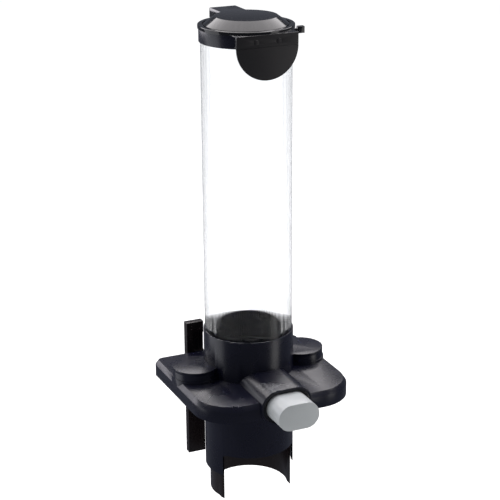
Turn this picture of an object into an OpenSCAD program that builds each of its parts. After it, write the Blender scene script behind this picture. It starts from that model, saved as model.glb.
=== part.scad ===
// Wall dispenser for disposable cups. A clear tube holds the stack, a front button pushes a rack
// yoke, and the racks turn two cams that let one cup at a time fall through the guide.
// Local frame: the tube's axis is x = y = 0, the front is -Y, and z = 0 is the collar's rim.

/* [Tube] */
// Outer diameter of the clear tube
tube_d = 80; // [72:0.5:96]
// Wall of the clear tube
tube_wall = 1.5; // [1:0.1:2.5]
// Height of the tube's top above the collar's rim
tube_rise = 276; // [120:1:420]
// Depth that the tube sits in the collar
tube_seat = 25; // [15:1:26]
// Thickness of the soft ring under the tube
gasket_t = 1; // [0.5:0.1:2]

/* [Cup passage] */
// Step from the tube's outside in to the passage
passage_step = 4.2; // [3.5:0.1:5]
// Wall of the cup guide
guide_wall = 1.2; // [1:0.1:2]
// Depth of the cup guide's foot below the rim
guide_drop = 160.8; // [145:0.2:190]
// Half angle of the front opening in the guide
guide_gap = 66; // [50:1:75]

/* [Housing] */
// Wall of the collar around the tube
collar_wall = 1.1; // [1:0.1:2]
// Reach of the flange beyond the cam housings at each side
side_margin = 0; // [0:0.5:15]
// Reach of the flange in front of the collar
front_margin = 40.3; // [38:0.1:55]
// Reach of the flange behind the collar
back_margin = 13.8; // [7:0.1:16]
// Depth of the flange's top below the collar's rim
flange_drop = 39.7; // [38:0.1:45]
// Thickness of the flange
flange_t = 15; // [15:0.1:22]
// Radius of the flange's front corners
front_r = 36; // [30:0.5:38]
// Radius of the flange's back corners
back_r = 8; // [4:0.5:12]
// Bevel of the flange's top edge, outwards
bevel_out = 3; // [1:0.1:3.5]
// Bevel of the flange's top edge, downwards
bevel_down = 4.3; // [1:0.1:6]
// Wall of the housing shells
shell = 2.5; // [2:0.1:3]

/* [Barrel] */
// Depth of the barrel's foot below the rim
barrel_drop = 135.6; // [120:0.2:142]
// Depth of the front cut's top below the rim
cut_drop = 114.4; // [90:0.2:118]
// Half angle of the barrel's front cut
cut_half = 60; // [45:1:70]
// Wall of the barrel
barrel_wall = 1.8; // [1.5:0.1:2.2]

/* [Button] */
// Width of the push button
button_w = 39; // [32:0.5:40]
// Height of the push button
button_h = 24.4; // [20:0.2:25]
// Reach of the button's face in front of its sleeve
button_out = 24.5; // [20:0.5:30]
// Travel of the button
button_travel = 15; // [8:0.5:18]
// Depth of the button's middle below the rim
button_drop = 45.4; // [44:0.1:47]

/* [Cams] */
// Radius of a cam shelf
cam_r = 19; // [15.8:0.1:23]
// Reach of a cam shelf into the cup passage
cam_bite = 1.6; // [1:0.1:2.5]
// Radius of a cam axle
axle_r = 2.5; // [2:0.1:2.6]
// Teeth of a cam gear
gear_teeth = 14; // [14:1:15]
// Module of the rack and the gears
gear_m = 1; // [0.9:0.05:1]

/* [Lid] */
// Radius of the lid's rim beyond the tube
rim_step = 2.2; // [1.8:0.1:4]
// Radius of the lid's flat top
crown_r = 27.5; // [20:0.5:30]
// Height of the lid's flat top above its rim
crown_h = 6.9; // [4:0.1:10]
// Width of the lid's finger flap
flap_w = 57.2; // [40:0.2:60]
// Width of the lid's hinge block
hinge_w = 24.6; // [18:0.2:30]

/* [Wall rails] */
// Distance between the middles of the two wall rails
rail_pitch = 61.5; // [60:0.5:80]
// Width of a wall rail
rail_w = 17; // [12:0.5:18]
// Thickness of a wall rail
rail_t = 7; // [7:0.5:12]
// Height of a wall rail
rail_h = 135; // [100:1:160]
// Distance between a rail's two screw holes
hole_pitch = 104; // [70:1:116]
// Radius of a wall screw hole
hole_r = 2; // [1.5:0.1:2.5]

/* [Clearances] */
// Gap of a fixed seat
seat_gap = 0.1; // [0.05:0.05:0.2]
// Gap around a moving piece
move_gap = 0.4; // [0.3:0.05:0.6]
// Radial gap of a running bearing
run_gap = 0.05; // [0.02:0.01:0.1]

/* [Hidden] */
$fn = 96;

navy = [0.10, 0.11, 0.18];
black = [0.12, 0.12, 0.14];
brown = [0.16, 0.13, 0.14];
steel = [0.72, 0.73, 0.75];
brass = [0.78, 0.66, 0.40];

// Tube, collar and passage
tube_r = tube_d / 2;
collar_in = tube_r + seat_gap;
collar_r = collar_in + collar_wall;
passage_r = tube_r - passage_step;
ledge_z = -tube_seat - gasket_t;
guide_r = passage_r + guide_wall;
barrel_in = collar_r - barrel_wall;
lip_t = 1.8;
lip_w = 1.7;

// Cam housings, and the flange around them
cam_x = passage_r + cam_r - cam_bite;
void_r = cam_r + move_gap;
boss_r = void_r + 1.4;
flange_w = 2 * (cam_x + boss_r + side_margin);
flange_front = collar_r + front_margin;
flange_back = collar_r + back_margin;

// Flange levels
top_z = -flange_drop;
under_z = top_z - shell;
bottom_z = top_z - flange_t;
plate_z = bottom_z + shell;

// Covers of the cam housings
boss_z = top_z + 8.3;
cover_t = 2.6;
spigot_h = 0.5;

// Cam: two shelves on a hub, and its gear under it
cam_top = boss_z - 1;
cam_bottom = under_z + 1;
hub_r = 11;
shelf_t = 1.5;
shelf_half = 45;
ramp_steps = 8;
ramp_inset = 0.5;
bush_r = axle_r + run_gap + 1.45;
key_r = 5.6;
key_h = 2.5;

// Rack and gears: involute teeth with a thinned flank
pitch_r = gear_m * gear_teeth / 2;
pressure = 20;
addendum = 0.8 * gear_m;
dedendum = 1.2 * gear_m;
thinning = 0.25;
gear_low = plate_z + 0.6;
gear_high = under_z - 1.8;
turn = button_travel / pitch_r * 180 / PI;

// Yoke
yoke_low = plate_z + 0.3;
yoke_high = gear_high;
yoke_z = (yoke_low + yoke_high) / 2;
pitch_x = cam_x - pitch_r;
arm_out = pitch_x - dedendum;
arm_in = guide_r + 3.6;
arm_w = arm_out - arm_in;
arm_x = (arm_in + arm_out) / 2;
arm_end = 9;
bar_t = 6;
bar_front = -(collar_r + 3.8 + button_travel + bar_t);
rib_t = 1.2;
rib_h = 4;
rib_l = 14;
rib_gap = move_gap + rib_t / 2;
rib_front = bar_front + bar_t + button_travel + 2;

// Button, its sleeve and its bezel
button_r = button_h / 2;
button_wall = 2;
button_reach = flange_front + 2 + button_out;
button_back = bar_front - 6;
sleeve_w = button_w + 11;
sleeve_r = button_r + 4.3;
sleeve_front = -(flange_front + 2);
sleeve_back = bar_front - 0.2;
mouth_w = button_w + 7;
mouth_r = button_r + 2.3;
mouth_t = 4;
bezel_gap = 0.3;
post_x = 10;
post_r = 3;

// Return springs and their rods
spring_turns = 8;
spring_r = 2.6;
spring_wire = 0.8;
spring_foot_r = spring_r + 0.6;
spring_seat = flange_back - shell - 2;
rod_r = 1.8;
rod_tip = arm_end + button_travel + 6;

// Top collar, lid and hinge
ring_r = collar_r + 0.2;
ring_low = tube_rise - 9.8;
ring_top = tube_rise + 1.5;
lip_r = tube_r - 1.4;
lid_low = ring_top + 0.1;
rim_r = tube_r + rim_step;
rim_t = 3;
rim_z = lid_low + rim_t;
bevel_r = tube_r - 3;
lid_wall = 2;
plug_r = lip_r - move_gap;
plug_t = 1.6;
plug_h = 3;
pin_y = tube_r + 8.5;
pin_z = lid_low + 1.4;
pin_r = 1.5;
knuckle_r = 3.6;
knuckle_w = hinge_w / 2 - 0.3;
cheek_t = 1.8;
ear_out = hinge_w / 2 - cheek_t - 0.3;
block_back = pin_y + 4;
block_low = pin_z + knuckle_r + 0.3;
block_high = rim_z + crown_h - 0.7;

// Finger flap
flap_t = 1.4;
tab_t = 1.3;
tab_back = -(ring_r + 0.3);
tab_front = tab_back - tab_t;
flap_mid = ring_low + 2;
flap_top = rim_z - 2.1;
rivet_x = 10.4;
rivet_z = flap_mid + 4.4;
rivet_r = 1.4;

// Rails and their screws
rail_back = flange_back + rail_t;
rail_top = -11;
rail_mid = rail_top - rail_h / 2;
fix_z = (top_z + bottom_z) / 2 - 2;
fix_step = 3.5;
fix_r = 1.6;
fix_block = 10.6;
// Middle of a rail's pair of screws, which stays clear of the spring's foot
fix_x = min(rail_pitch / 2, arm_x - spring_foot_r - 0.2 - fix_block / 2);
head_r = 2.8;
head_t = 1.8;
hole_depth = 5;

// Screws that hold the two housing shells together: back, middle and front at each side
screw_r = 1.5;
screw_boss_r = 3.6;
front_screw_y = bar_front - screw_boss_r - 2.4;
shell_screws = [for (s = [-1, 1], p = [[flange_w / 2 - 12, flange_back - 15],
    [flange_w / 2 - 16, 37.5 - flange_front], [flange_w / 2 - 40, front_screw_y]]) [s * p[0], p[1]]];

// The row's origin is in the wall plane, midway between the four screw holes
module placed() {
    translate([0, -rail_back, -rail_mid]) children();
}

// Extrudes a drawing in x and z along Y, from y0 to y1
module along_y(y0, y1) {
    translate([0, y1, 0]) rotate([90, 0, 0]) linear_extrude(y1 - y0) children();
}

// Extrudes a drawing in y and z along X, from x0 to x1
module along_x(x0, x1) {
    translate([x0, 0, 0]) rotate([90, 0, 90]) linear_extrude(x1 - x0) children();
}

module ring(outer, inner, z0, z1) {
    translate([0, 0, z0]) difference() {
        cylinder(h = z1 - z0, r = outer);
        translate([0, 0, -1]) cylinder(h = z1 - z0 + 2, r = inner);
    }
}

module rod(r, z0, z1) {
    translate([0, 0, z0]) cylinder(h = z1 - z0, r = r);
}

// Box from one corner to the other
module block(low, high) {
    translate(low) cube(high - low);
}

module stadium(w, r) {
    square([w - 2 * r, 2 * r], center = true);
    for (s = [-1, 1]) translate([s * (w / 2 - r), 0]) circle(r);
}

// A stadium bar along Y at the button's height
module button_bar(w, r, y0, y1) {
    translate([0, 0, -button_drop]) along_y(y0, y1) stadium(w, r);
}

module sector_2d(r, half) {
    intersection() {
        circle(r);
        polygon([[0, 0], 2 * r * [cos(half), sin(half)], [2 * r, 0], 2 * r * [cos(half), -sin(half)]]);
    }
}

module slab_outline(inset) {
    side = flange_w / 2;
    turn_y = -(flange_front - front_r);
    translate([-(side - front_r), -flange_front + inset])
        square([2 * (side - front_r), flange_front + flange_back - 2 * inset]);
    translate([-side + inset, turn_y]) square([2 * (side - inset), flange_back - back_r - turn_y]);
    translate([-(side - back_r), turn_y]) square([2 * (side - back_r), flange_back - inset - turn_y]);
    for (s = [-1, 1]) {
        translate([s * (side - front_r), turn_y]) circle(front_r - inset);
        translate([s * (side - back_r), flange_back - back_r]) circle(back_r - inset);
    }
}

// The bevelled top edge: a cone at each corner and a prism along each straight side
module slab_bevel() {
    side = flange_w / 2;
    turn_y = -(flange_front - front_r);
    rise = [bevel_out, bevel_down];
    translate([0, 0, top_z - bevel_down]) {
        along_x(-(side - front_r), side - front_r)
            polygon([[-flange_front, 0], [flange_back, 0],
                [flange_back - rise[0], rise[1]], [-flange_front + rise[0], rise[1]]]);
        along_x(-(side - back_r), side - back_r)
            polygon([[turn_y, 0], [flange_back, 0], [flange_back - rise[0], rise[1]], [turn_y, rise[1]]]);
        along_y(turn_y, flange_back - back_r)
            polygon([[-side, 0], [side, 0], [side - rise[0], rise[1]], [-side + rise[0], rise[1]]]);
        for (s = [-1, 1]) {
            translate([s * (side - front_r), turn_y])
                cylinder(h = bevel_down, r1 = front_r, r2 = front_r - bevel_out);
            translate([s * (side - back_r), flange_back - back_r])
                cylinder(h = bevel_down, r1 = back_r, r2 = back_r - bevel_out);
        }
    }
}

module at_cam(side) {
    translate([side * cam_x, 0, 0]) children();
}

module upper_housing() {
    color(navy) placed() difference() {
        union() {
            rod(collar_r, under_z, 0);
            translate([0, 0, bottom_z]) linear_extrude(flange_t - bevel_down) slab_outline(0);
            slab_bevel();
            for (s = [-1, 1]) {
                at_cam(s) rod(boss_r, top_z - bevel_down, boss_z);
                intersection() {
                    at_cam(s) rod(boss_r + 1, top_z - bevel_down, top_z + 2.2);
                    translate([0, 0, bottom_z]) linear_extrude(2 * flange_t) slab_outline(0);
                }
            }
            button_bar(sleeve_w, sleeve_r, sleeve_front, -collar_in + 8);
        }
        // Room for the tube, the passage and the cams
        rod(collar_in, ledge_z, 1);
        rod(passage_r, bottom_z - 20, 0);
        for (s = [-1, 1]) at_cam(s) rod(void_r, under_z - 1, boss_z + 1);
        // Inside of the flange, but for the sleeve, the screw posts and the rail blocks
        difference() {
            translate([0, 0, bottom_z - 1]) linear_extrude(flange_t - shell + 1) slab_outline(shell);
            button_bar(sleeve_w, sleeve_r, sleeve_front, sleeve_back);
            for (p = shell_screws) translate(p) rod(screw_boss_r, plate_z, top_z);
            for (s = [-1, 1]) translate([s * fix_x, 0, 0])
                block([-fix_block / 2, flange_back - shell - 5, plate_z + 0.2],
                    [fix_block / 2, flange_back, top_z]);
        }
        // A roof over the yoke behind the sleeve, with nothing of it under the flange
        button_bar(sleeve_w - 2 * shell, sleeve_r - shell, sleeve_back, -collar_r - shell);
        block([-sleeve_w, sleeve_back, bottom_z - 20], [sleeve_w, 0, bottom_z]);
        // The button's bore and the bezel's seat
        button_bar(button_w + 2 * move_gap, button_r + move_gap, sleeve_front, sleeve_back + 1);
        button_bar(mouth_w, mouth_r, sleeve_front - 1, sleeve_front + mouth_t);
        for (p = shell_screws) translate(p) rod(screw_r, plate_z - 1, plate_z + 8);
        for (s = [-1, 1], t = [-1, 1]) translate([s * fix_x + t * fix_step, 0, fix_z])
            along_y(flange_back - shell - 4, flange_back + 1) circle(fix_r);
    }
}

// Outline of the front cut, drawn in x and z with round upper corners
module front_cut(half_w, low, high, corner) {
    translate([-half_w, low]) square([2 * half_w, high - corner - low]);
    translate([-half_w + corner, low]) square([2 * (half_w - corner), high - low]);
    for (s = [-1, 1]) translate([s * (half_w - corner), high - corner]) circle(corner);
}

// Rib that stands on the bottom plate beside an arm of the yoke
module yoke_rib(x, y0, y1) {
    translate([x, 0, 0]) block([-rib_t / 2, y0, plate_z - 0.1], [rib_t / 2, y1, plate_z + rib_h]);
}

module lower_housing() {
    cut_w = collar_r * sin(cut_half);
    color(navy) placed() difference() {
        union() {
            difference() {
                union() {
                    translate([0, 0, bottom_z]) linear_extrude(shell) slab_outline(shell + seat_gap);
                    rod(collar_r, -barrel_drop, plate_z);
                    for (s = [-1, 1]) at_cam(s) rod(axle_r + 3, bottom_z - 2.5, plate_z);
                    // Trough under the yoke
                    intersection() {
                        button_bar(sleeve_w, sleeve_r, sleeve_back + seat_gap, -barrel_in);
                        block([-sleeve_w, -flange_front, bottom_z - 20], [sleeve_w, 0, plate_z]);
                    }
                }
                button_bar(sleeve_w - 2 * shell, sleeve_r - shell, sleeve_back - 1, -collar_r - shell);
                button_bar(sleeve_w + 2 * seat_gap, sleeve_r + seat_gap, -flange_front, sleeve_back + seat_gap);
                rod(barrel_in, -barrel_drop - 1, plate_z + 1);
            }
            ring(barrel_in + 0.5, guide_r + seat_gap, plate_z - 6.8, plate_z - 4.8);
            // Ribs that guide the yoke's arms, out of the crossbar's way
            for (s = [-1, 1]) {
                yoke_rib(s * (arm_in - rib_gap), rib_front, rib_front + rib_l);
                yoke_rib(s * (arm_out + rib_gap), rib_front, rib_front + rib_l);
                yoke_rib(s * (arm_in - rib_gap), arm_end - rib_l, arm_end - move_gap);
            }
        }
        along_y(-collar_r - 1, 0) front_cut(cut_w, -barrel_drop - 1, -cut_drop, 3);
        for (s = [-1, 1]) at_cam(s) rod(axle_r, bottom_z - 3, plate_z + 1);
        for (p = shell_screws) translate(p) rod(screw_r + 0.2, bottom_z - 1, plate_z + 1);
    }
}

module cup_guide() {
    gap_w = guide_r * sin(guide_gap);
    color(brown) placed() difference() {
        union() {
            ring(guide_r, passage_r, -guide_drop, under_z - move_gap);
            ring(barrel_in - seat_gap, guide_r - 0.5, plate_z - 4.8, plate_z - 3);
            // Lips along the front edges of the two legs
            for (s = [-1, 1]) intersection() {
                ring(guide_r + lip_t, passage_r + 0.3, -guide_drop, -cut_drop);
                translate([s * (gap_w + lip_w / 2), 0, 0])
                    block([-lip_w / 2, -2 * guide_r, -guide_drop - 1], [lip_w / 2, 0, -cut_drop + 1]);
            }
        }
        along_y(-guide_r - 1, 0) front_cut(gap_w, -guide_drop - 1, -cut_drop + 3, 3);
    }
}

module cam_cover(side) {
    color(navy) placed() difference() {
        union() {
            at_cam(side) rod(boss_r, boss_z, boss_z + cover_t);
            at_cam(side) ring(void_r - seat_gap, void_r - 2.2, boss_z - spigot_h, boss_z + 0.5);
        }
        rod(collar_r + seat_gap, under_z, 1);
        at_cam(side) rod(axle_r + run_gap, boss_z - 1, boss_z + 1.6);
    }
}

module left_cam_cover() {
    cam_cover(-1);
}

module right_cam_cover() {
    cam_cover(1);
}

module storage_tube() {
    color([0.85, 0.9, 0.95, 0.35]) placed() ring(tube_r, tube_r - tube_wall, -tube_seat, tube_rise);
}

module tube_gasket() {
    color(black) placed() ring(collar_in, tube_r - tube_wall, ledge_z, -tube_seat);
}

module top_collar() {
    web_y = ring_r - 1;
    color(black) placed() difference() {
        union() {
            ring(ring_r, tube_r + seat_gap, ring_low, ring_top);
            ring(ring_r - 0.5, lip_r, tube_rise, ring_top);
            // Hinge ears on webs at the back
            for (s = [-1, 1]) translate([s * (knuckle_w / 2 + ear_out) / 2, 0, 0]) {
                half = (ear_out - knuckle_w / 2) / 2;
                along_x(-half, half) translate([pin_y, pin_z]) circle(knuckle_r);
                along_x(-half, half) polygon([[web_y - 3, ring_low + 1], [web_y - 3, ring_top - 0.1],
                    [pin_y, ring_top - 0.1], [pin_y + 2, pin_z - 3], [web_y, ring_low + 1]]);
            }
            // Boss of the clamp screw at the side
            along_x(tube_r + 0.6, ring_r + 3.2) translate([0, ring_low + 4.8]) circle(3.4);
        }
        rod(tube_r + seat_gap, ring_low - 1, tube_rise);
        rod(lip_r, ring_low - 1, ring_top + 1);
        along_x(-hinge_w, hinge_w) translate([pin_y, pin_z]) circle(pin_r);
        along_x(tube_r - 1, ring_r + 4) translate([0, ring_low + 4.8]) circle(1.6);
    }
}

module collar_clamp_screw() {
    head_x = ring_r + 7.6;
    screw_z = ring_low + 4.8;
    color(black) placed() {
        along_x(tube_r, head_x + 0.5) translate([0, screw_z]) circle(1.6);
        block([head_x, -2.3, screw_z - 3], [head_x + 6, 2.3, screw_z + 3]);
    }
}

module lid_hinge_pin() {
    color(steel) placed() along_x(-ear_out, ear_out) translate([pin_y, pin_z]) circle(pin_r);
}

module wall_rail(side) {
    recess_top = rail_top - 11;
    color(brown) placed() translate([side * rail_pitch / 2, 0, 0]) difference() {
        along_y(flange_back, rail_back) translate([-rail_w / 2, rail_top - rail_h]) square([rail_w, rail_h]);
        // Ribbed recess in the upper front, on the side of the tube
        difference() {
            mirror([side > 0 ? 0 : 1, 0, 0]) block([-rail_w / 2 - 1, flange_back - 1, top_z],
                [rail_w / 2 - 6.5, flange_back + 1.4, recess_top]);
            for (i = [0:1]) mirror([side > 0 ? 0 : 1, 0, 0]) translate([-rail_w / 2 + 2 + 2.6 * i, 0, 0])
                block([0, flange_back + 0.4, top_z - 1], [0.8, flange_back + 2, recess_top]);
        }
        for (s = [-1, 1]) translate([0, 0, rail_top - rail_h / 2 + s * hole_pitch / 2])
            along_y(rail_back - hole_depth, rail_back + 1) circle(hole_r);
        for (t = [-1, 1]) translate([side * (fix_x - rail_pitch / 2) + t * fix_step, 0, fix_z]) {
            along_y(flange_back - 1, rail_back + 1) circle(fix_r + 0.2);
            along_y(rail_back - 3, rail_back + 1) circle(head_r + 0.2);
        }
    }
}

module left_wall_rail() {
    wall_rail(-1);
}

module right_wall_rail() {
    wall_rail(1);
}

module rail_screws() {
    color(steel) placed() for (s = [-1, 1], t = [-1, 1])
        translate([s * fix_x + t * fix_step, 0, fix_z]) {
            along_y(flange_back - shell - 3.5, rail_back - 3) circle(fix_r);
            along_y(rail_back - 3, rail_back - 3 + head_t) circle(head_r);
        }
}

module housing_screws() {
    color(steel) placed() for (p = shell_screws) translate(p) {
        rod(screw_r, bottom_z - 0.5, plate_z + 7.5);
        rod(head_r, bottom_z - head_t, bottom_z);
    }
}

module button_bezel() {
    color(black) placed() difference() {
        button_bar(mouth_w - 2 * seat_gap, mouth_r - seat_gap, sleeve_front + 0.6, sleeve_front + mouth_t);
        button_bar(button_w + 2 * bezel_gap, button_r + bezel_gap, sleeve_front - 1, sleeve_back);
    }
}

module spring_rods() {
    color(steel) placed() for (s = [-1, 1]) translate([s * arm_x, 0, yoke_z]) {
        along_y(rod_tip, spring_seat + 2) circle(rod_r);
        along_y(spring_seat, spring_seat + 2) circle(spring_foot_r);
    }
}

module cam_axle(side) {
    color(steel) placed() at_cam(side) rod(axle_r, bottom_z - 2.5, boss_z + 1.4);
}

module left_cam_axle() {
    cam_axle(-1);
}

module right_cam_axle() {
    cam_axle(1);
}

// A conical crown with a flat top on a rim, the plug under it, the hinge block and the flap's tab
module lid() {
    crown_z = rim_z + crown_h;
    color(black) placed() difference() {
        union() {
            rotate_extrude() polygon([[0, rim_z - 1], [0, crown_z], [crown_r, crown_z], [bevel_r, rim_z],
                [bevel_r + 0.1, rim_z - 1], [bevel_r + 1.2, rim_z - 1], [bevel_r + 1.3, rim_z],
                [rim_r - 0.3, rim_z], [rim_r, rim_z - 0.3], [rim_r, lid_low], [0, lid_low]]);
            ring(plug_r, plug_r - plug_t, lid_low - plug_h, lid_low + 0.5);
            along_x(-hinge_w / 2, hinge_w / 2) polygon([[crown_r - 3, block_low], [block_back, block_low],
                [block_back, block_high - 1], [block_back - 1, block_high], [crown_r - 3, block_high]]);
            for (s = [-1, 1]) translate([s * (hinge_w - cheek_t) / 2, 0, 0])
                block([-cheek_t / 2, bevel_r + 1, pin_z - 1], [cheek_t / 2, block_back, block_low + 1]);
            block([-hinge_w / 2, crown_r - 3, rim_z - 1], [hinge_w / 2, bevel_r + 2, block_high]);
            along_x(-knuckle_w / 2 + 0.3, knuckle_w / 2 - 0.3) {
                translate([pin_y, pin_z]) circle(knuckle_r);
                translate([pin_y - knuckle_r, pin_z]) square([2 * knuckle_r, block_low + 1 - pin_z]);
            }
            // Shelf and tab that carry the finger flap
            block([-flap_w / 2, tab_front, lid_low + 0.3], [flap_w / 2, -tube_r * 0.7, flap_top]);
            block([-flap_w / 2, tab_front, flap_mid], [flap_w / 2, tab_back, flap_top]);
        }
        // Hollow under the crown
        rotate_extrude() polygon([[0, lid_low - 1], [0, crown_z - lid_wall],
            [crown_r - 1, crown_z - lid_wall], [plug_r - plug_t, lid_low + 1], [plug_r - plug_t, lid_low - 1]]);
        along_x(-ear_out, ear_out) translate([pin_y, pin_z]) circle(pin_r + run_gap);
        for (s = [-1, 1]) translate([s * rivet_x, 0, rivet_z])
            along_y(tab_front - 1, tab_back + 1) circle(rivet_r);
    }
}

module front_flap() {
    fold_z = flap_mid - 0.3;
    color(black) placed() difference() {
        along_y(tab_front - flap_t, tab_front) {
            translate([0, flap_mid]) intersection() {
                circle(flap_w / 2);
                translate([-flap_w, -flap_w]) square([2 * flap_w, flap_w]);
            }
            translate([-flap_w / 2, flap_mid - 0.1]) square([flap_w, flap_top - flap_mid + 0.1]);
        }
        block([-flap_w, tab_front - flap_t - 1, fold_z], [flap_w, tab_front - flap_t + 0.3, fold_z + 0.6]);
        for (s = [-1, 1]) translate([s * rivet_x, 0, rivet_z])
            along_y(tab_front - 5, tab_front + 1) circle(rivet_r);
    }
}

module flap_rivets() {
    front = tab_front - flap_t;
    color(black) placed() for (s = [-1, 1]) translate([s * rivet_x, 0, rivet_z]) {
        along_y(front - 0.2, tab_back) circle(rivet_r);
        along_y(front - 0.8, front) circle(rivet_r + 1);
    }
}

module push_button() {
    inner_w = button_w - 2 * button_wall;
    inner_r = button_r - button_wall;
    color([0.82, 0.84, 0.85]) placed() difference() {
        union() {
            difference() {
                button_bar(button_w, button_r, -button_reach, button_back);
                button_bar(inner_w, inner_r, -button_reach + 2.5, button_back + 1);
            }
            for (s = [-1, 1]) translate([s * post_x, 0, yoke_z])
                along_y(-button_reach + 1, bar_front) circle(post_r);
        }
        for (s = [-1, 1]) translate([s * post_x, 0, yoke_z]) along_y(bar_front - 12, bar_front + 1) circle(1.2);
    }
}

// Rack tooth in x and y, with its root on the line x = 0
module rack_tooth() {
    root_half = PI * gear_m / 4 - thinning / 2 + dedendum * tan(pressure);
    tip_half = root_half - (addendum + dedendum) * tan(pressure);
    polygon([[-0.2, -root_half], [0, -root_half], [addendum + dedendum, -tip_half],
        [addendum + dedendum, tip_half], [0, root_half], [-0.2, root_half]]);
}

module rack_yoke() {
    teeth_from = -ceil((button_travel + 3) / (PI * gear_m));
    color(brown) placed() difference() {
        union() {
            translate([0, 0, yoke_low]) linear_extrude(yoke_high - yoke_low) {
                translate([-arm_out, bar_front]) square([2 * arm_out, bar_t]);
                for (s = [0, 1]) mirror([s, 0, 0]) {
                    translate([arm_in, bar_front]) square([arm_w, arm_end - bar_front]);
                    for (i = [teeth_from:1]) translate([arm_out, (i + 0.5) * PI * gear_m]) rack_tooth();
                }
            }
        }
        for (s = [-1, 1]) translate([s * post_x, 0, yoke_z])
            along_y(bar_front - 1, bar_front + bar_t + 1) circle(1.4);
    }
}

module button_screws() {
    bar_back = bar_front + bar_t;
    color(steel) placed() for (s = [-1, 1]) translate([s * post_x, 0, yoke_z]) {
        along_y(bar_front - 11, bar_back) circle(1.2);
        along_y(bar_back, bar_back + head_t) circle(head_r);
    }
}

// The right-hand cam: at rest its lower shelf reaches under the lowest cup's rim
module cam_body() {
    low = cam_bottom;
    high = cam_top - shelf_t;
    step = (turn - 2 * shelf_half) / ramp_steps;
    difference() {
        union() {
            rod(hub_r, cam_bottom, cam_top);
            translate([0, 0, low]) linear_extrude(shelf_t) rotate(180) sector_2d(cam_r, shelf_half);
            translate([0, 0, high]) linear_extrude(shelf_t) rotate(180 + turn) sector_2d(cam_r, shelf_half);
            // Ramp between the shelves, which lowers the next rim from the upper one
            for (i = [1:ramp_steps - 1]) translate([0, 0, low + (high - low) * i / ramp_steps])
                linear_extrude(shelf_t) rotate(180 + shelf_half + step * i)
                    sector_2d(cam_r - ramp_inset * (1 + i / ramp_steps), step * 0.7);
        }
        rod(bush_r, cam_bottom - 1, cam_top + 1);
        translate([0, 0, cam_bottom - 1]) cylinder(h = key_h + 1, r = key_r, $fn = 6);
    }
}

module cam(side) {
    color("ivory") placed() at_cam(side) mirror([side > 0 ? 0 : 1, 0, 0]) cam_body();
}

module left_cam() {
    cam(-1);
}

module right_cam() {
    cam(1);
}

// Points along one involute flank, from the base circle to the tip
function flank(base, tip, half, n) = [for (i = [0:n])
    let (t = sqrt(pow(tip / base, 2) - 1) * i / n, r = base * sqrt(1 + t * t), a = half - (t * 180 / PI - atan(t)))
        r * [cos(a), sin(a)]];

module gear_2d() {
    base = pitch_r * cos(pressure);
    tip = pitch_r + addendum;
    root = pitch_r - dedendum;
    inv = tan(pressure) * 180 / PI - pressure;
    half = (PI * gear_m / 4 - thinning / 2) / pitch_r * 180 / PI + inv;
    side = flank(base, tip, half, 5);
    circle(root);
    for (i = [0:gear_teeth - 1]) rotate(360 * i / gear_teeth)
        polygon(concat([[root - 1, 0], (root - 1) * [cos(half), sin(half)]], side,
            [for (j = [5:-1:0]) [side[j][0], -side[j][1]]], [(root - 1) * [cos(half), -sin(half)]]));
}

module cam_gear(side) {
    color("ivory") placed() at_cam(side) mirror([side > 0 ? 0 : 1, 0, 0]) difference() {
        union() {
            translate([0, 0, gear_low]) linear_extrude(gear_high - gear_low) rotate(180) gear_2d();
            rod(key_r, gear_high, cam_bottom);
            translate([0, 0, cam_bottom - 1]) cylinder(h = key_h + 1, r = key_r, $fn = 6);
        }
        rod(bush_r, gear_low - 1, cam_top);
    }
}

module left_cam_gear() {
    cam_gear(-1);
}

module right_cam_gear() {
    cam_gear(1);
}

module cam_bush(side) {
    color(brass) placed() at_cam(side) ring(bush_r, axle_r + run_gap, gear_low - 0.2, cam_top + 0.2);
}

module left_cam_bush() {
    cam_bush(-1);
}

module right_cam_bush() {
    cam_bush(1);
}

// Open coil along +Z: one ring of points after another, joined by quads
module coil_spring(length, radius, wire, turns) {
    sides = 8;
    per_turn = 20;
    rings = turns * per_turn;
    rise = length - wire;
    points = [for (i = [0:rings], j = [0:sides - 1])
        let (a = 360 * i / per_turn, b = 360 * j / sides, r = radius + wire / 2 * cos(b))
            [r * cos(a), r * sin(a), wire / 2 + rise * i / rings + wire / 2 * sin(b)]];
    quads = [for (i = [0:rings - 1], j = [0:sides - 1])
        let (k = (j + 1) % sides)
            [i * sides + j, i * sides + k, (i + 1) * sides + k, (i + 1) * sides + j]];
    first = [for (j = [sides - 1:-1:0]) j];
    last = [for (j = [0:sides - 1]) rings * sides + j];
    polyhedron(points, concat([first, last], quads));
}

module return_spring(side) {
    length = spring_seat - arm_end;
    color(steel) placed() translate([side * arm_x, arm_end, yoke_z]) rotate([-90, 0, 0])
        coil_spring(length, spring_r, spring_wire, spring_turns);
}

module left_return_spring() {
    return_spring(-1);
}

module right_return_spring() {
    return_spring(1);
}

upper_housing();
lower_housing();
cup_guide();
left_cam_cover();
right_cam_cover();
storage_tube();
tube_gasket();
top_collar();
collar_clamp_screw();
lid_hinge_pin();
left_wall_rail();
right_wall_rail();
rail_screws();
housing_screws();
button_bezel();
spring_rods();
left_cam_axle();
right_cam_axle();
lid();
front_flap();
flap_rivets();
push_button();
rack_yoke();
button_screws();
left_cam();
right_cam();
left_cam_gear();
right_cam_gear();
left_cam_bush();
right_cam_bush();
left_return_spring();
right_return_spring();
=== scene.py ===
import math

import bmesh
import bpy
from mathutils import Matrix, Vector


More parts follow.
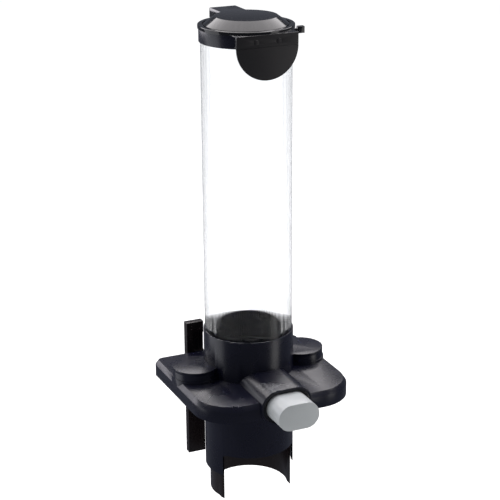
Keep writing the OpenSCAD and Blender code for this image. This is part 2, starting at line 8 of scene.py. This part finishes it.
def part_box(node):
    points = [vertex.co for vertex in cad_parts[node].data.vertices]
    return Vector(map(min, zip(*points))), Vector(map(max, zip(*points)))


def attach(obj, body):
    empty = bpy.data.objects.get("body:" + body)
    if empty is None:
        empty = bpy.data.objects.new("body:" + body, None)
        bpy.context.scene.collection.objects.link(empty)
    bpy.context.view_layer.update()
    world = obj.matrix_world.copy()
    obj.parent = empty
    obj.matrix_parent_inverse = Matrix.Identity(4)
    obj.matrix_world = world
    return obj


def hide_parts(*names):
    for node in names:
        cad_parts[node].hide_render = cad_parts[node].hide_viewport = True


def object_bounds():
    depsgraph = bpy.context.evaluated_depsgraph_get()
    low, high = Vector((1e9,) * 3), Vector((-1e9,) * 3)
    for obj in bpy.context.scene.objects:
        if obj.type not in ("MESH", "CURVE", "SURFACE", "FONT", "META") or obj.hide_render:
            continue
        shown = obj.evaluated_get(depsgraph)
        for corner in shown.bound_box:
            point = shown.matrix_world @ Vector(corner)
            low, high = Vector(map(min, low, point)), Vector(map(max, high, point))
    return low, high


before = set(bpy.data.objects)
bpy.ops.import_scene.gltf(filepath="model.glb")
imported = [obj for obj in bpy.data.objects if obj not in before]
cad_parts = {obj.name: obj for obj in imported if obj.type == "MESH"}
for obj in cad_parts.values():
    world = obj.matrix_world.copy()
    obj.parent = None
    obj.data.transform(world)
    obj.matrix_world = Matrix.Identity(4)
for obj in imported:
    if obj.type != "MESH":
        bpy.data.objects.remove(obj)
cadBox = [list(corner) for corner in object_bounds()]
scene = bpy.context.scene
print("frame loaded with", len(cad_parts), "nodes")


def mm(*values):
    scaled = [v / 1000 for v in values]
    return scaled[0] if len(scaled) == 1 else Vector(scaled)


shot = {
    "aim": mm(11.0, -42.3, 144.8),  # where the middle of the picture looks
    "distance": 1.411,
    "turn": 24.02,  # degrees from straight ahead, to the object's left
    "tilt": 19.23,  # degrees above the horizon
    "roll": 0.38,
    "lens": 110.5,
    "sensor": 36.0,
    "farthest": 60,  # metres
}


def addCamera():
    camera = bpy.data.cameras.new("camera")
    camera.lens = shot["lens"]
    camera.sensor_width = shot["sensor"]
    camera.clip_end = shot["farthest"]
    turn = (
        Matrix.Rotation(math.radians(-shot["turn"]), 4, "Z")
        @ Matrix.Rotation(math.radians(90 - shot["tilt"]), 4, "X")
        @ Matrix.Rotation(math.radians(-shot["roll"]), 4, "Z")
    )
    holder = bpy.data.objects.new("camera", camera)
    scene.collection.objects.link(holder)
    place = shot["aim"] + turn @ Vector((0, 0, shot["distance"]))
    holder.matrix_world = Matrix.Translation(place) @ turn
    scene.camera = holder


studio = {
    "floorDrop": 0.30,  # from the object's lowest point to the floor
    "floorReach": 20.0,
    "floorColor": (0.25, 0.25, 0.25),
    "floorGlow": 0.95,
    "floorRoughness": 0.9,
    "sky": (0.62, 0.66, 0.78),
    "skyPower": 0.20,
    # name: (place, size, power in watts, colour)
    "lights": {
        "overhead": ((0.40, 0.72, 1.36), (3.7, 2.2), 112.0, (1.0, 0.965, 0.975)),
        "backLeftPanel": ((-0.66, 1.10, 0.36), (0.8, 0.36), 3.0, (0.97, 0.94, 1.0)),
        "leftPanel": ((-1.15, 0.45, 0.05), (1.1, 0.9), 5.0, (0.95, 0.96, 1.0)),
        "rightPanel": ((0.75, -0.80, 0.10), (0.40, 0.9), 2.0, (1.0, 0.98, 0.96)),
    },
}


def addLight(name, place, size, power, tint):
    light = bpy.data.lights.new(name, "AREA")
    light.shape = "RECTANGLE"
    light.size, light.size_y = size
    light.energy = power
    light.color = tint
    holder = bpy.data.objects.new(name, light)
    scene.collection.objects.link(holder)
    holder.visible_camera = False
    towards = Vector(place) - shot["aim"]
    if name == "overhead":
        facing = Matrix.Rotation(math.radians(-shot["turn"]), 4, "Z")
    else:
        facing = towards.to_track_quat("Z", "Y").to_matrix().to_4x4()
    holder.matrix_world = Matrix.Translation(place) @ facing


def addFloor():
    mesh = bpy.data.meshes.new("floor")
    reach = studio["floorReach"]
    low = cadBox[0][2] - studio["floorDrop"]
    corners = [(x * reach, y * reach, low) for x, y in ((-1, -1), (1, -1), (1, 1), (-1, 1))]
    mesh.from_pydata(corners, [], [(0, 1, 2, 3)])
    floor = bpy.data.objects.new("floor", mesh)
    scene.collection.objects.link(floor)
    floor.visible_glossy = False  # the glossy shells mirror the dim room and its lights
    material, nodes, links, shader = startMaterial("floorPaper")
    shader.inputs["Base Color"].default_value = (*studio["floorColor"], 1)
    shader.inputs["Roughness"].default_value = studio["floorRoughness"]
    shader.inputs["Specular IOR Level"].default_value = 0.0
    shader.inputs["Emission Color"].default_value = (1, 1, 1, 1)
    shader.inputs["Emission Strength"].default_value = studio["floorGlow"]
    mesh.materials.append(material)


def addStudio():
    world = bpy.data.worlds.new("softRoom")
    scene.world = world
    world.use_nodes = True
    background = world.node_tree.nodes["Background"]
    background.inputs["Color"].default_value = (*studio["sky"], 1)
    background.inputs["Strength"].default_value = studio["skyPower"]
    for name, look in studio["lights"].items():
        addLight(name, *look)
    addFloor()
    scene.view_settings.view_transform = "Standard"
    print("studio with", len(studio["lights"]), "lights")


def startMaterial(name):
    material = bpy.data.materials.new(name)
    material.use_nodes = True
    nodes, links = material.node_tree.nodes, material.node_tree.links
    return material, nodes, links, nodes["Principled BSDF"]


def noiseAt(nodes, links, scale, detail=3.0, stretch=(1, 1, 1)):
    place = nodes.new("ShaderNodeTexCoord")
    mapping = nodes.new("ShaderNodeMapping")
    mapping.inputs["Scale"].default_value = stretch
    links.new(place.outputs["Object"], mapping.inputs["Vector"])
    noise = nodes.new("ShaderNodeTexNoise")
    noise.inputs["Scale"].default_value = scale
    noise.inputs["Detail"].default_value = detail
    links.new(mapping.outputs["Vector"], noise.inputs["Vector"])
    return noise.outputs["Fac"]


def ramp(nodes, links, source, low, high, start=0.3, end=0.7):
    spread = nodes.new("ShaderNodeMapRange")
    limits = {"From Min": start, "From Max": end, "To Min": low, "To Max": high}
    for name, value in limits.items():
        spread.inputs[name].default_value = value
    links.new(source, spread.inputs["Value"])
    return spread.outputs["Result"]


def mixColors(nodes, links, share, first, second):
    mix = nodes.new("ShaderNodeMix")
    mix.data_type = "RGBA"
    links.new(share, mix.inputs["Factor"])
    mix.inputs[6].default_value = (*first, 1)
    mix.inputs[7].default_value = (*second, 1)
    return mix.outputs[2]


def addBump(nodes, links, shader, layers):
    last = None
    for scale, height, stretch in layers:
        bump = nodes.new("ShaderNodeBump")
        bump.inputs["Strength"].default_value = 1.0
        bump.inputs["Distance"].default_value = height
        links.new(noiseAt(nodes, links, scale, 2.0, stretch), bump.inputs["Height"])
        if last:
            links.new(last.outputs["Normal"], bump.inputs["Normal"])
        last = bump
    links.new(last.outputs["Normal"], shader.inputs["Normal"])


# noise scales of the plastics' slow colour change and of their smudges
skin = {"shade": 22.0, "smudge": 38.0, "smudgeDetail": 5.0}
# moulded plastics: two close colours, the roughness' low and high end, gloss, and the skin's bumps
plastics = {
    "navyPlastic": {
        "colors": ((0.0020, 0.0023, 0.0075), (0.0030, 0.0034, 0.0100)),
        "roughness": (0.24, 0.32), "gloss": 0.40, "coat": 0.0,
        "bumps": [(90, 0.000012, (1, 1, 1)), (1400, 0.000001, (1, 1, 1))],
    },
    "blackPlastic": {
        "colors": ((0.0030, 0.0030, 0.0042), (0.0045, 0.0044, 0.0058)),
        "roughness": (0.08, 0.14), "gloss": 0.42, "coat": 0.0,
        "bumps": [(110, 0.00002, (1, 1, 1)), (1600, 0.0000015, (1, 1, 1))],
    },
    "flapPlastic": {
        "colors": ((0.0085, 0.0080, 0.0092), (0.0120, 0.0108, 0.0118)),
        "roughness": (0.36, 0.48), "gloss": 0.30, "coat": 0.0,
        "bumps": [(60, 0.00004, (1, 1, 1)), (2600, 0.000004, (1, 1, 1))],
    },
    "brownPlastic": {
        "colors": ((0.0065, 0.0044, 0.0050), (0.0095, 0.0066, 0.0070)),
        "roughness": (0.24, 0.34), "gloss": 0.32, "coat": 0.0,
        "bumps": [(80, 0.00003, (1, 1, 0.4)), (1800, 0.000003, (1, 1, 1))],
    },
    "paleGreyPlastic": {
        "colors": ((0.33, 0.35, 0.355), (0.36, 0.38, 0.385)),
        "roughness": (0.30, 0.42), "gloss": 0.5, "coat": 0.15,
        "bumps": [(120, 0.00003, (1, 1, 1)), (2200, 0.000003, (1, 1, 1))],
    },
    "ivoryPlastic": {
        "colors": ((0.70, 0.67, 0.58), (0.76, 0.73, 0.65)),
        "roughness": (0.34, 0.5), "gloss": 0.45, "coat": 0.0,
        "bumps": [(150, 0.00002, (1, 1, 1)), (2400, 0.000004, (1, 1, 1))],
    },
    "softRubber": {
        "colors": ((0.012, 0.012, 0.012), (0.02, 0.02, 0.02)),
        "roughness": (0.6, 0.75), "gloss": 0.4, "coat": 0.0,
        "bumps": [(300, 0.00003, (1, 1, 1)), (2500, 0.000008, (1, 1, 1))],
    },
}


def plasticMaterial(name):
    look = plastics[name]
    material, nodes, links, shader = startMaterial(name)
    shade = ramp(nodes, links, noiseAt(nodes, links, skin["shade"]), 0.0, 1.0)
    links.new(mixColors(nodes, links, shade, *look["colors"]), shader.inputs["Base Color"])
    smudge = noiseAt(nodes, links, skin["smudge"], skin["smudgeDetail"])
    links.new(ramp(nodes, links, smudge, *look["roughness"]), shader.inputs["Roughness"])
    shader.inputs["Specular IOR Level"].default_value = look["gloss"]
    shader.inputs["Coat Weight"].default_value = look["coat"]
    addBump(nodes, links, shader, look["bumps"])
    return material


metals = {
    "brightSteel": {"colors": ((0.55, 0.56, 0.58), (0.68, 0.69, 0.71)), "roughness": (0.2, 0.36)},
    "yellowBrass": {"colors": ((0.66, 0.47, 0.20), (0.76, 0.57, 0.27)), "roughness": (0.22, 0.38)},
}


def metalMaterial(name):
    look = metals[name]
    material, nodes, links, shader = startMaterial(name)
    streaks = noiseAt(nodes, links, 260.0, 4.0, (1, 1, 0.12))
    links.new(mixColors(nodes, links, streaks, *look["colors"]), shader.inputs["Base Color"])
    links.new(ramp(nodes, links, streaks, *look["roughness"]), shader.inputs["Roughness"])
    shader.inputs["Metallic"].default_value = 1.0
    addBump(nodes, links, shader, [(900, 0.000004, (1, 1, 0.2))])
    return material


clearLook = {
    "tint": (0.972, 0.982, 0.993),
    "ior": 1.25,  # lower than a real clear plastic's 1.49, for the look
    "roughness": (0.0, 0.03),
    "haze": (30.0, 4.0, (1, 1, 0.2)),
    "bumps": [(40, 0.00002, (1, 1, 0.15))],
}


def clearMaterial():
    material, nodes, links, shader = startMaterial("clearTube")
    shader.inputs["Base Color"].default_value = (*clearLook["tint"], 1)
    shader.inputs["IOR"].default_value = clearLook["ior"]
    shader.inputs["Transmission Weight"].default_value = 1.0
    haze = noiseAt(nodes, links, *clearLook["haze"])
    links.new(ramp(nodes, links, haze, *clearLook["roughness"]), shader.inputs["Roughness"])
    addBump(nodes, links, shader, clearLook["bumps"])
    return material


def makeMaterials():
    made = {name: plasticMaterial(name) for name in plastics}
    made.update({name: metalMaterial(name) for name in metals})
    made["clearTube"] = clearMaterial()
    return made


def addObject(name, mesh):
    piece = bpy.data.objects.new(name, mesh)
    scene.collection.objects.link(piece)
    return piece


def plainMesh(piece):
    bpy.context.view_layer.update()
    shaped = piece.evaluated_get(bpy.context.evaluated_depsgraph_get())
    mesh = bpy.data.meshes.new_from_object(shaped)
    mesh.name = piece.name
    piece.modifiers.clear()
    old, piece.data = piece.data, mesh
    bpy.data.meshes.remove(old)


def shadeByAngle(mesh, degrees):
    mesh.shade_smooth()
    mesh.set_sharp_from_angle(angle=math.radians(degrees))


def finishPiece(piece, body, slot, *nodes):
    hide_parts(*nodes)
    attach(piece, body)


cleaning = {
    "weld": mm(0.002),
    "flatWithin": math.radians(0.4),
}


def mergedCopy(node, name):
    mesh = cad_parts[node].data.copy()
    mesh.materials.clear()
    work = bmesh.new()
    work.from_mesh(mesh)
    bmesh.ops.remove_doubles(work, verts=work.verts, dist=cleaning["weld"])
    flat = cleaning["flatWithin"]
    bmesh.ops.dissolve_limit(work, angle_limit=flat, verts=work.verts, edges=work.edges)
    work.to_mesh(mesh)
    work.free()
    if "custom_normal" in mesh.attributes:
        mesh.attributes.remove(mesh.attributes["custom_normal"])
    return addObject(name, mesh)


# a copy of each moulded piece: the edge width asked for in mm, finish, body and slot. The bevel's
# overlap clamp makes most edges far narrower than asked, the upper housing's about 0.006 mm
roundedPieces = {
    "upperHousing": ("upper_housing", 0.8, "navyPlastic", "housing", "housing_plastic"),
    "lowerHousing": ("lower_housing", 0.5, "navyPlastic", "housing", "housing_plastic"),
    "cupGuide": ("cup_guide", 0.3, "brownPlastic", "housing", "guide_plastic"),
    "leftCamCover": ("left_cam_cover", 0.5, "navyPlastic", "housing", "housing_plastic"),
    "rightCamCover": ("right_cam_cover", 0.5, "navyPlastic", "housing", "housing_plastic"),
    "topCollar": ("top_collar", 0.25, "navyPlastic", "housing", "lid_plastic"),
    "clampScrew": ("collar_clamp_screw", 0.4, "blackPlastic", "housing", "lid_plastic"),
    "leftWallRail": ("left_wall_rail", 0.4, "brownPlastic", "housing", "guide_plastic"),
    "rightWallRail": ("right_wall_rail", 0.4, "brownPlastic", "housing", "guide_plastic"),
    "buttonBezel": ("button_bezel", 0.3, "blackPlastic", "housing", "lid_plastic"),
    "lidShell": ("lid", 0.3, "blackPlastic", "lid", "lid_plastic"),
    "frontFlap": ("front_flap", 0.3, "flapPlastic", "lid", "lid_plastic"),
    "pushButton": ("push_button", 1.6, "paleGreyPlastic", "button", "button_plastic"),
}
rounding = {
    "segments": 3,
    "sharpFrom": 34.0,
    "shadeFrom": 40.0,
    "shareOfFace": 0.42,  # the most of a face's own width that one rounded edge may take
}


# how far a face reaches inwards from the middle of one of its edges
def roomAcross(face, edge):
    first, second = (vertex.co for vertex in edge.verts)
    along = (second - first).normalized()
    inward = face.normal.cross(along)
    middle = (first + second) / 2
    loop = next(loop for loop in edge.link_loops if loop.face == face)
    if loop.vert.co != first:
        inward = -inward
    room = 1.0
    for other in face.edges:
        if other == edge:
            continue
        a, b = ((vertex.co - middle) for vertex in other.verts)
        left, right = a.dot(along), b.dot(along)
        if left * right > 0 or left == right:
            continue
        share = left / (left - right)
        depth = a.dot(inward) * (1 - share) + b.dot(inward) * share
        if depth > mm(0.001):
            room = min(room, depth)
    return room


# weighs the sharp edges for the bevel, and each edge less where its faces are narrow
def weighEdges(mesh, width):
    work = bmesh.new()
    work.from_mesh(mesh)
    weight = work.edges.layers.float.new("bevel_weight_edge")
    sharpFrom = math.radians(rounding["sharpFrom"])
    for edge in work.edges:
        if len(edge.link_faces) == 2 and edge.calc_face_angle() > sharpFrom:
            room = min(roomAcross(face, edge) for face in edge.link_faces)
            edge[weight] = min(1.0, rounding["shareOfFace"] * room / width)
    work.to_mesh(mesh)
    work.free()


def makeRoundedPieces(materials):
    for name, (node, width, finish, body, slot) in roundedPieces.items():
        piece = mergedCopy(node, name)
        weighEdges(piece.data, mm(width))
        bevel = piece.modifiers.new("edges", "BEVEL")
        bevel.width = mm(width)
        bevel.segments = rounding["segments"]
        bevel.limit_method = "WEIGHT"
        bevel.use_clamp_overlap = True
        piece.data.materials.append(materials[finish])
        plainMesh(piece)
        shadeByAngle(piece.data, rounding["shadeFrom"])
        finishPiece(piece, body, slot, node)
    print("bevelled pieces:", len(roundedPieces))


# CAD nodes whose shape is kept: only their finish changes
keptNodes = {
    "brightSteel": ["lid_hinge_pin", "spring_rods", "left_cam_axle", "right_cam_axle",
                    "left_return_spring", "right_return_spring"],
    "yellowBrass": ["left_cam_bush", "right_cam_bush"],
    "ivoryPlastic": ["rack_yoke", "left_cam", "right_cam", "left_cam_gear", "right_cam_gear"],
    "softRubber": ["tube_gasket"],
}


def dressKeptNodes(materials):
    for finish, names in keptNodes.items():
        for node in names:
            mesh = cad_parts[node].data
            mesh.materials.clear()
            mesh.materials.append(materials[finish])
    print("kept nodes dressed")


# screws and rivets, in mm: the crown is how far the head's dome reaches past its rim, and
# a recess of 0 leaves the head plain
fasteners = {
    "housingScrews": {
        "node": "housing_screws", "out": (0, 0, -1), "body": "housing",
        "finish": "brightSteel", "slot": "steel",
        "sizes": {
            "Head Radius": 2.8, "Head Height": 1.8,
            "Crown": 1.25, "Shank Radius": 1.5, "Recess": 1.1,
        },
    },
    "railScrews": {
        "node": "rail_screws", "out": (0, 1, 0), "body": "housing",
        "finish": "brightSteel", "slot": "steel",
        "sizes": {
            "Head Radius": 2.8, "Head Height": 1.8,
            "Crown": 1.25, "Shank Radius": 1.6, "Recess": 1.1,
        },
    },
    "buttonScrews": {
        "node": "button_screws", "out": (0, 1, 0), "body": "button",
        "finish": "brightSteel", "slot": "steel",
        "sizes": {
            "Head Radius": 2.8, "Head Height": 1.8,
            "Crown": 1.25, "Shank Radius": 1.2, "Recess": 1.1,
        },
    },
    "flapRivets": {
        "node": "flap_rivets", "out": (0, -1, 0), "body": "lid",
        "finish": "flapPlastic", "slot": "lid_plastic",
        "sizes": {
            "Head Radius": 2.4, "Head Height": 0.8,
            "Crown": 1.01, "Shank Radius": 1.4, "Recess": 0.0,
        },
    },
}
fastenerMake = {
    "seed": 7,
    "rimSides": 40,
    "domeRings": 24,
    "shankSides": 24,
    "crossLength": 1.25,  # of the head's radius
    "crossWidth": 0.26,
    "overlap": 0.2,  # mm that the shank reaches into the head
    "smoothBelow": 40,  # degrees
}


def islandBoxes(node):
    work = bmesh.new()
    work.from_mesh(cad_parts[node].data)
    bmesh.ops.remove_doubles(work, verts=work.verts, dist=cleaning["weld"])
    left = set(work.verts)
    boxes = []
    while left:
        waiting = [left.pop()]
        points = []
        while waiting:
            vertex = waiting.pop()
            points.append(vertex.co.copy())
            near = [edge.other_vert(vertex) for edge in vertex.link_edges]
            fresh = {other for other in near if other in left}
            left -= fresh
            waiting += fresh
        low = Vector([min(point[i] for point in points) for i in range(3)])
        high = Vector([max(point[i] for point in points) for i in range(3)])
        boxes.append((low, high))
    work.free()
    return sorted(boxes, key=lambda box: tuple(box[0]))


def treeInputs(tree, values):
    kinds = {float: "NodeSocketFloat", int: "NodeSocketInt", Vector: "NodeSocketVector"}
    tree.interface.new_socket("Geometry", in_out="INPUT", socket_type="NodeSocketGeometry")
    tree.interface.new_socket("Geometry", in_out="OUTPUT", socket_type="NodeSocketGeometry")
    sockets = {}
    for name, value in values.items():
        kind = kinds.get(type(value), "NodeSocketMaterial")
        sockets[name] = tree.interface.new_socket(name, in_out="INPUT", socket_type=kind).identifier
    return sockets


def calculateWith(tree):
    def calculate(operation, *values):
        node = tree.nodes.new("ShaderNodeMath")
        node.operation = operation
        for i, value in enumerate(values):
            if isinstance(value, (int, float)):
                node.inputs[i].default_value = value
            else:
                tree.links.new(value, node.inputs[i])
        return node.outputs[0]
    return calculate


def fastenerTree(values):
    tree = bpy.data.node_groups.new("headedFastener", "GeometryNodeTree")
    sockets = treeInputs(tree, values)
    nodes, links = tree.nodes, tree.links
    given = nodes.new("NodeGroupInput").outputs
    calculate = calculateWith(tree)

    def vector(x, y, z):
        joined = nodes.new("ShaderNodeCombineXYZ")
        for i, value in enumerate((x, y, z)):
            if isinstance(value, (int, float)):
                joined.inputs[i].default_value = value
            else:
                links.new(value, joined.inputs[i])
        return joined.outputs[0]

    def moved(geometry, shift, scale=None):
        node = nodes.new("GeometryNodeTransform")
        links.new(geometry, node.inputs["Geometry"])
        links.new(shift, node.inputs["Translation"])
        if scale:
            links.new(scale, node.inputs["Scale"])
        return node.outputs[0]

    def cylinder(radius, depth, sides):
        node = nodes.new("GeometryNodeMeshCylinder")
        node.inputs["Vertices"].default_value = sides
        links.new(radius, node.inputs["Radius"])
        links.new(depth, node.inputs["Depth"])
        return node.outputs["Mesh"]

    def box(size):
        node = nodes.new("GeometryNodeMeshCube")
        links.new(size, node.inputs["Size"])
        return node.outputs["Mesh"]

    def combine(operation, first, *others):
        node = nodes.new("GeometryNodeMeshBoolean")
        node.operation = operation
        node.solver = "EXACT"
        links.new(first, node.inputs[0 if operation == "DIFFERENCE" else 1])
        for other in others:
            links.new(other, node.inputs[1])
        return node.outputs["Mesh"]

    headRadius, headHeight = given["Head Radius"], given["Head Height"]
    lift = calculate("MULTIPLY", headHeight, 0.5)
    rim = moved(cylinder(headRadius, headHeight, fastenerMake["rimSides"]), vector(0, 0, lift))
    ball = nodes.new("GeometryNodeMeshUVSphere")
    ball.inputs["Segments"].default_value = fastenerMake["rimSides"]
    ball.inputs["Rings"].default_value = fastenerMake["domeRings"]
    ball.inputs["Radius"].default_value = 1.0
    wide = calculate("MULTIPLY", headRadius, given["Crown"])
    dome = moved(ball.outputs["Mesh"], vector(0, 0, 0), vector(wide, wide, headHeight))
    head = combine("INTERSECT", rim, dome)
    long = calculate("MULTIPLY", headRadius, fastenerMake["crossLength"])
    slot = calculate("MULTIPLY", headRadius, fastenerMake["crossWidth"])
    deep = calculate("MULTIPLY", given["Recess"], 2)
    bars = ((long, slot, deep), (slot, long, deep))
    cuts = [moved(box(vector(*size)), vector(0, 0, headHeight)) for size in bars]
    choose = nodes.new("GeometryNodeSwitch")
    choose.input_type = "GEOMETRY"
    links.new(calculate("GREATER_THAN", given["Recess"], 0.01), choose.inputs["Switch"])
    links.new(head, choose.inputs["False"])
    links.new(combine("DIFFERENCE", head, *cuts), choose.inputs["True"])
    overlap = fastenerMake["overlap"]
    reach = calculate("ADD", given["Shank Length"], overlap)
    middle = calculate("ADD", calculate("MULTIPLY", reach, -0.5), overlap)
    rod = cylinder(given["Shank Radius"], reach, fastenerMake["shankSides"])
    shank = moved(rod, vector(0, 0, middle))
    joined = combine("UNION", choose.outputs[0], shank)
    whole = moved(joined, vector(0, 0, 0), vector(0.001, 0.001, 0.001))  # mm to metres
    # one at each point of the given mesh, each turned its own way round its axis
    spin = nodes.new("FunctionNodeRandomValue")
    spin.data_type = "FLOAT"
    spin.inputs[3].default_value = math.pi
    links.new(given["Seed"], spin.inputs["Seed"])
    aimed = nodes.new("FunctionNodeEulerToRotation")
    links.new(given["Turn"], aimed.inputs[0])
    turned = nodes.new("FunctionNodeRotateRotation")
    turned.rotation_space = "LOCAL"
    own = nodes.new("FunctionNodeEulerToRotation")
    links.new(vector(0, 0, spin.outputs[1]), own.inputs[0])
    links.new(aimed.outputs[0], turned.inputs[0])
    links.new(own.outputs[0], turned.inputs[1])
    place = nodes.new("GeometryNodeInstanceOnPoints")
    links.new(given["Geometry"], place.inputs["Points"])
    links.new(whole, place.inputs["Instance"])
    links.new(turned.outputs[0], place.inputs["Rotation"])
    endTree(tree, given["Material"], place.outputs[0])
    return tree, sockets


def makeFasteners(materials):
    for name, look in fasteners.items():
        out = Vector(look["out"])
        height = mm(look["sizes"]["Head Height"])
        seats = []
        for low, high in islandBoxes(look["node"]):
            reach = max(low.dot(out), high.dot(out))
            middle = (low + high) / 2
            seats.append(middle + out * (reach - height - middle.dot(out)))
            length = abs((high - low).dot(out)) - height
        values = {key: float(value) for key, value in look["sizes"].items()}
        values["Shank Length"] = length * 1000
        values["Turn"] = Vector(out.to_track_quat("Z", "Y").to_euler())
        values["Seed"] = fastenerMake["seed"]
        values["Material"] = materials[look["finish"]]
        tree, sockets = fastenerTree(values)
        mesh = bpy.data.meshes.new(name)
        mesh.from_pydata(seats, [], [])
        piece = addObject(name, mesh)
        modifier = piece.modifiers.new("fasteners", "NODES")
        modifier.node_group = tree
        for key, value in values.items():
            modifier[sockets[key]] = value
        plainMesh(piece)
        shadeByAngle(piece.data, fastenerMake["smoothBelow"])
        finishPiece(piece, look["body"], look["slot"], look["node"])
        print(name, "at", len(seats), "places,", len(piece.data.polygons), "faces")


tube = {
    "flutes": 150,
    "pointsPerFlute": 6,
    "fluteDepth": 0.18,  # mm, cut into the wall from the inside
    "wall": 1.5,  # mm
    "smoothBelow": 50,  # degrees
}


def makeTube(materials):
    low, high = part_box("storage_tube")
    values = {
        "Outer Radius": (high.x - low.x) / 2,
        "Wall": mm(tube["wall"]),
        "Low": low.z,
        "High": high.z,
        "Flute Depth": mm(tube["fluteDepth"]),
        "Middle Y": (low.y + high.y) / 2,
        "Flutes": tube["flutes"],
        "Points Per Flute": tube["pointsPerFlute"],
        "Material": materials["clearTube"],
    }
    tree = bpy.data.node_groups.new("flutedTube", "GeometryNodeTree")
    sockets = treeInputs(tree, values)
    nodes, links = tree.nodes, tree.links
    given = nodes.new("NodeGroupInput").outputs
    calculate = calculateWith(tree)
    # a flat grid: one side goes round the tube, the other follows the wall's outline to its start
    around = calculate("ADD", calculate("MULTIPLY", given["Flutes"], given["Points Per Flute"]), 1)
    grid = nodes.new("GeometryNodeMeshGrid")
    grid.inputs["Size X"].default_value = 1.0
    grid.inputs["Size Y"].default_value = 1.0
    grid.inputs["Vertices Y"].default_value = 5
    links.new(around, grid.inputs["Vertices X"])
    place = nodes.new("GeometryNodeInputPosition")
    split = nodes.new("ShaderNodeSeparateXYZ")
    links.new(place.outputs[0], split.inputs[0])
    angle = calculate("MULTIPLY", calculate("ADD", split.outputs["X"], 0.5), 2 * math.pi)
    step = calculate("MULTIPLY", calculate("ADD", split.outputs["Y"], 0.5), 4)
    inside = calculate("LESS_THAN", calculate("ABSOLUTE", calculate("SUBTRACT", step, 2.5)), 0.9)
    above = calculate("LESS_THAN", calculate("ABSOLUTE", calculate("SUBTRACT", step, 1.5)), 0.9)
    wave = calculate("COSINE", calculate("MULTIPLY", angle, given["Flutes"]))
    dip = calculate("ADD", calculate("MULTIPLY", wave, 0.5), 0.5)
    cut = calculate("MULTIPLY", dip, given["Flute Depth"])
    depth = calculate("MULTIPLY", inside, calculate("SUBTRACT", given["Wall"], cut))
    radius = calculate("SUBTRACT", given["Outer Radius"], depth)
    rise = calculate("SUBTRACT", given["High"], given["Low"])
    height = calculate("ADD", given["Low"], calculate("MULTIPLY", above, rise))
    joined = nodes.new("ShaderNodeCombineXYZ")
    links.new(calculate("MULTIPLY", radius, calculate("COSINE", angle)), joined.inputs["X"])
    sideways = calculate("MULTIPLY", radius, calculate("SINE", angle))
    links.new(calculate("ADD", sideways, given["Middle Y"]), joined.inputs["Y"])
    links.new(height, joined.inputs["Z"])
    move = nodes.new("GeometryNodeSetPosition")
    links.new(grid.outputs["Mesh"], move.inputs["Geometry"])
    links.new(joined.outputs[0], move.inputs["Position"])
    weld = nodes.new("GeometryNodeMergeByDistance")
    weld.inputs["Distance"].default_value = mm(0.001)
    links.new(move.outputs[0], weld.inputs["Geometry"])
    endTree(tree, given["Material"], weld.outputs[0])
    piece = addObject("tubeWall", bpy.data.meshes.new("tubeWall"))
    modifier = piece.modifiers.new("flutes", "NODES")
    modifier.node_group = tree
    for name, value in values.items():
        modifier[sockets[name]] = value
    plainMesh(piece)
    work = bmesh.new()
    work.from_mesh(piece.data)
    bmesh.ops.recalc_face_normals(work, faces=work.faces)
    work.to_mesh(piece.data)
    work.free()
    shadeByAngle(piece.data, tube["smoothBelow"])
    finishPiece(piece, "housing", "clear_tube", "storage_tube")
    print("tube with", tube["flutes"], "flutes")


def endTree(tree, material, geometry):
    nodes, links = tree.nodes, tree.links
    real = nodes.new("GeometryNodeRealizeInstances")
    paint = nodes.new("GeometryNodeSetMaterial")
    out = nodes.new("NodeGroupOutput")
    links.new(geometry, real.inputs[0])
    links.new(real.outputs[0], paint.inputs["Geometry"])
    links.new(material, paint.inputs["Material"])
    links.new(paint.outputs[0], out.inputs[0])


materials = makeMaterials()
addCamera()
addStudio()
makeRoundedPieces(materials)
dressKeptNodes(materials)
makeFasteners(materials)
makeTube(materials)

print("finished")
